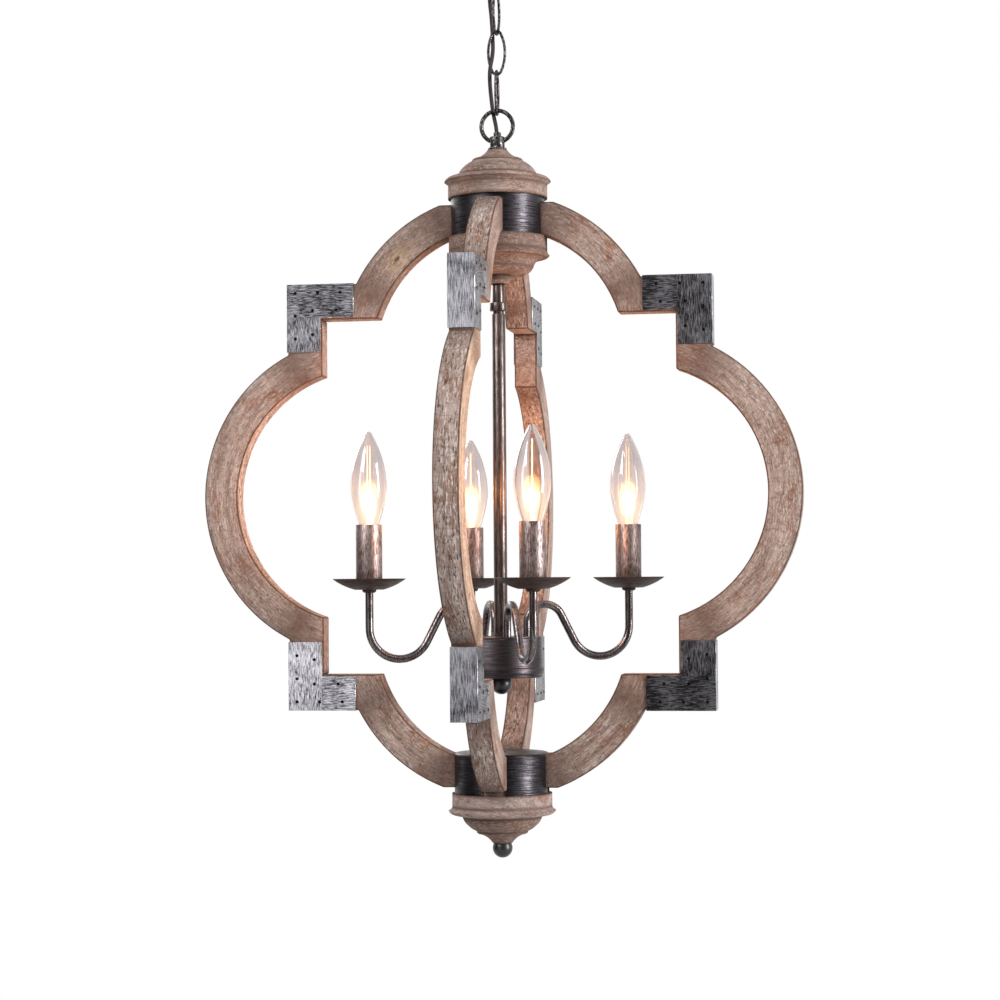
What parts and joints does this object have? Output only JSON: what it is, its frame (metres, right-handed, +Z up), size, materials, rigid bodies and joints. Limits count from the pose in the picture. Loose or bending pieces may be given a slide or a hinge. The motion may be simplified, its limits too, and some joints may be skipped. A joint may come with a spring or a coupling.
{
  "type": "lantern chandelier",
  "caption": "Quatrefoil lantern chandelier of weathered wood wings with metal corners and drums, candle lamps on bent arms, hung on a short chain from a ceiling canopy.",
  "frame": {"origin": "centre of the canopy's rim, on the ceiling", "axes": "+Z up, wings along +X, +Y, -X and -Y, front of the lantern towards -Y"},
  "size_m": [0.53, 0.53, 0.823],
  "materials": {
    "weathered_wood": "whitewashed, matt",
    "brushed_sheet": "darkened and dry brushed",
    "aged_bronze": "satin",
    "black_iron": "satin",
    "plain_steel": "zinc plated",
    "cord_cover": "matt",
    "socket_plastic": "matt",
    "clear_glass": "clear",
    "screw_brass": "satin"
  },
  "bodies": {
    "ceiling": {"canopy": "aged_bronze", "crossbar": "plain_steel", "canopy_nipple": "plain_steel", "canopy_nut": "plain_steel", "canopy_loop": "black_iron", "supply_cord": "cord_cover"},
    "link_top": {"chain_link_top": "black_iron"},
    "link_middle": {"chain_link_middle": "black_iron"},
    "link_bottom": {"chain_link_bottom": "black_iron"},
    "lantern": {"right_upper_arc": "weathered_wood", "right_side_arc": "weathered_wood", "right_lower_arc": "weathered_wood", "back_upper_arc": "weathered_wood", "back_side_arc": "weathered_wood", "back_lower_arc": "weathered_wood", "left_upper_arc": "weathered_wood", "left_side_arc": "weathered_wood", "left_lower_arc": "weathered_wood", "front_upper_arc": "weathered_wood", "front_side_arc": "weathered_wood", "front_lower_arc": "weathered_wood", "top_cap": "weathered_wood", "bottom_cap": "weathered_wood", "top_neck": "weathered_wood", "stem_collar": "weathered_wood", "upper_brackets": "brushed_sheet", "lower_brackets": "brushed_sheet", "top_drum": "brushed_sheet", "bottom_drum": "brushed_sheet", "right_arm": "aged_bronze", "back_arm": "aged_bronze", "left_arm": "aged_bronze", "front_arm": "aged_bronze", "drip_pans": "aged_bronze", "pan_collars": "aged_bronze", "candle_sleeves": "aged_bronze", "hub_cup": "aged_bronze", "hub_lid": "aged_bronze", "stem_rod": "aged_bronze", "stem_tube": "aged_bronze", "stem_coupling": "aged_bronze", "top_loop": "black_iron", "bottom_finial": "black_iron", "hub_finial": "black_iron", "bracket_nails": "black_iron", "top_nipple": "plain_steel", "rod_nuts": "plain_steel", "arm_nuts": "plain_steel", "lamp_sockets": "socket_plastic"},
    "right_bulb": {"right_bulb_glass": "clear_glass", "right_bulb_base": "screw_brass"},
    "back_bulb": {"back_bulb_glass": "clear_glass", "back_bulb_base": "screw_brass"},
    "left_bulb": {"left_bulb_glass": "clear_glass", "left_bulb_base": "screw_brass"},
    "front_bulb": {"front_bulb_glass": "clear_glass", "front_bulb_base": "screw_brass"}
  },
  "joints": [
    {"name": "chain_top_swing", "type": "hinge", "parent": "ceiling", "child": "link_top", "pos_m": [0, 0, -0.063], "axis": [1, 0, 0], "range_deg": [-25, 25], "deforming": ["supply_cord"]},
    {"name": "chain_middle_swing", "type": "hinge", "parent": "link_top", "child": "link_middle", "pos_m": [0, 0, -0.09805], "axis": [0.1908, 0.9816, 0], "range_deg": [-25, 25], "deforming": ["supply_cord"]},
    {"name": "chain_bottom_swing", "type": "hinge", "parent": "link_middle", "child": "link_bottom", "pos_m": [0, 0, -0.13375], "axis": [1, 0, 0], "range_deg": [-25, 25], "deforming": ["supply_cord"]},
    {"name": "lantern_swing", "type": "hinge", "parent": "link_bottom", "child": "lantern", "pos_m": [0, 0, -0.16945], "axis": [0, 1, 0], "range_deg": [-25, 25], "deforming": ["supply_cord"]},
    {"name": "right_bulb_draw", "type": "slide", "parent": "lantern", "child": "right_bulb", "axis": [0, 0, 1], "range_m": [0, 0.03]},
    {"name": "back_bulb_draw", "type": "slide", "parent": "lantern", "child": "back_bulb", "axis": [0, 0, 1], "range_m": [0, 0.03]},
    {"name": "left_bulb_draw", "type": "slide", "parent": "lantern", "child": "left_bulb", "axis": [0, 0, 1], "range_m": [0, 0.03]},
    {"name": "front_bulb_draw", "type": "slide", "parent": "lantern", "child": "front_bulb", "axis": [0, 0, 1], "range_m": [0, 0.03]}
  ]
}
